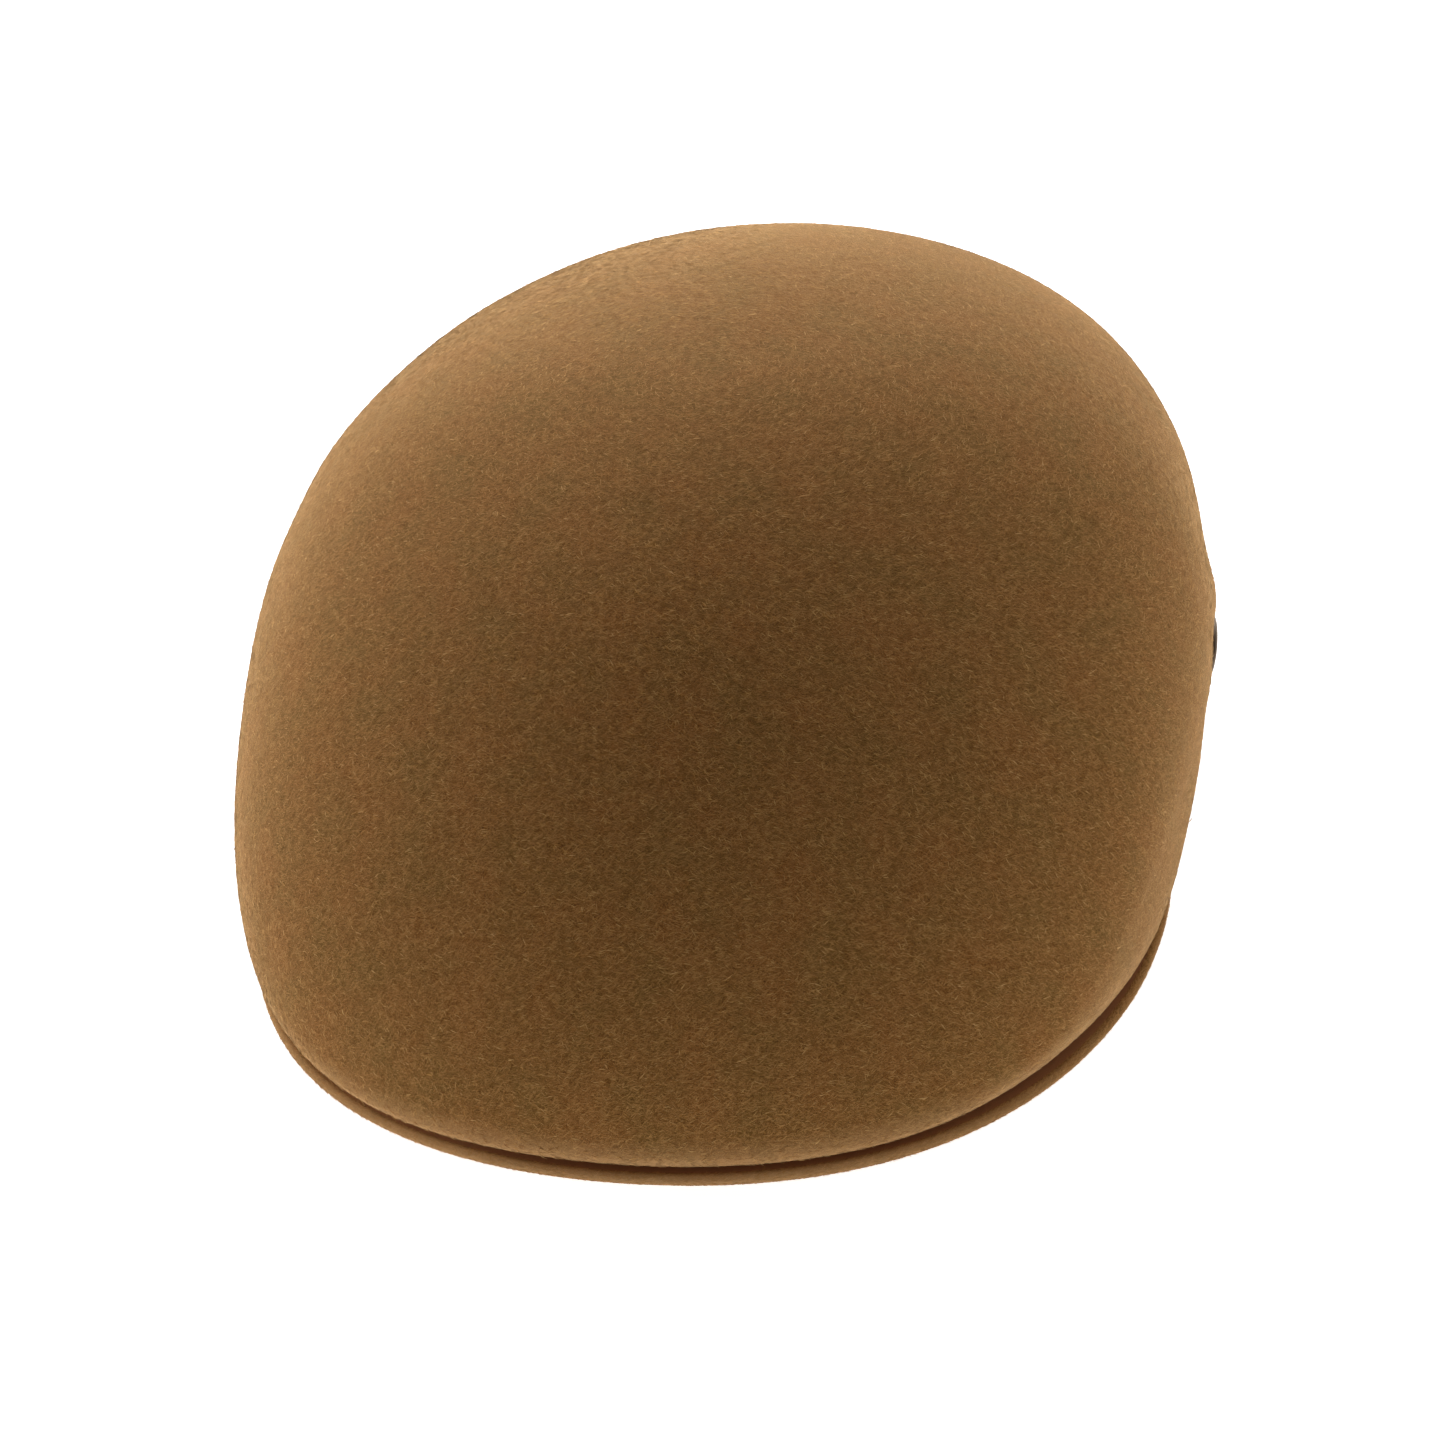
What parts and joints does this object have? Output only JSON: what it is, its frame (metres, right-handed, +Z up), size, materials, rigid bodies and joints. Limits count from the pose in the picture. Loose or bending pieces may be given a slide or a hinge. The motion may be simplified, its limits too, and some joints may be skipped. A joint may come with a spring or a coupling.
{
  "type": "fur felt cap",
  "caption": "Flat cap blocked from fur felt: a smooth domed crown that rolls over a short stiff peak, hollow and open below, with a small plain side badge.",
  "frame": {"origin": "On the surface that the cap rests on, under the middle of its outline.", "axes": "+Z up, the peak towards -Y, the wearer's left hand and the badge at +X. Both sides are alike but for the badge."},
  "size_m": [0.2012, 0.251, 0.1],
  "materials": {
    "fur_felt": "camel brown fur felt with a short, soft, brushed nap",
    "badge_metal": "dark grey brown satin metal, plain"
  },
  "bodies": {
    "root": {"crown": "fur_felt", "peak": "fur_felt", "badge": "badge_metal"}
  },
  "joints": []
}
